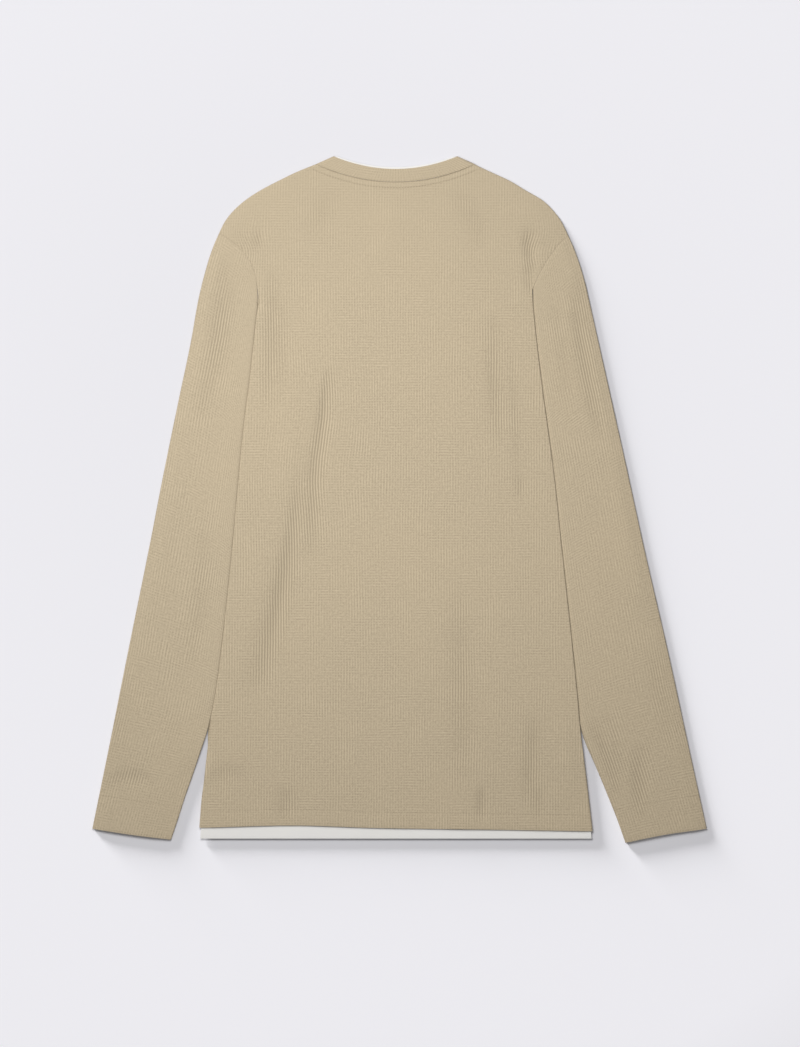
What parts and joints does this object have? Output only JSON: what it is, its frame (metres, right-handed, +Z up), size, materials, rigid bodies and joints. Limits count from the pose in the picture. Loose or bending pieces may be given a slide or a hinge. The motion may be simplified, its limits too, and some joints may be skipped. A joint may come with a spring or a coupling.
{
  "type": "crew neck sweater",
  "caption": "Long-sleeved crew neck sweater in fine waffle knit with an off-white mock under-layer at neck and hem, laid flat with its back up",
  "frame": {"origin": "on the surface that the garment lies on, under the middle of its box", "axes": "+Y runs from the hem to the neck, +X from the wearer's left sleeve to the right one, and +Z up through the front and then the back, which is on top"},
  "size_m": [0.659, 0.7366, 0.0069],
  "materials": {
    "knit": "matte tan cotton waffle knit with a fine grid of ribs",
    "jersey": "matte off-white cotton jersey"
  },
  "bodies": {
    "root": {"back": "knit", "front": "knit", "sleeve_left": "knit", "sleeve_right": "knit", "neckband": "knit", "underlayer_neck": "jersey", "underlayer_hem": "jersey"}
  },
  "joints": []
}
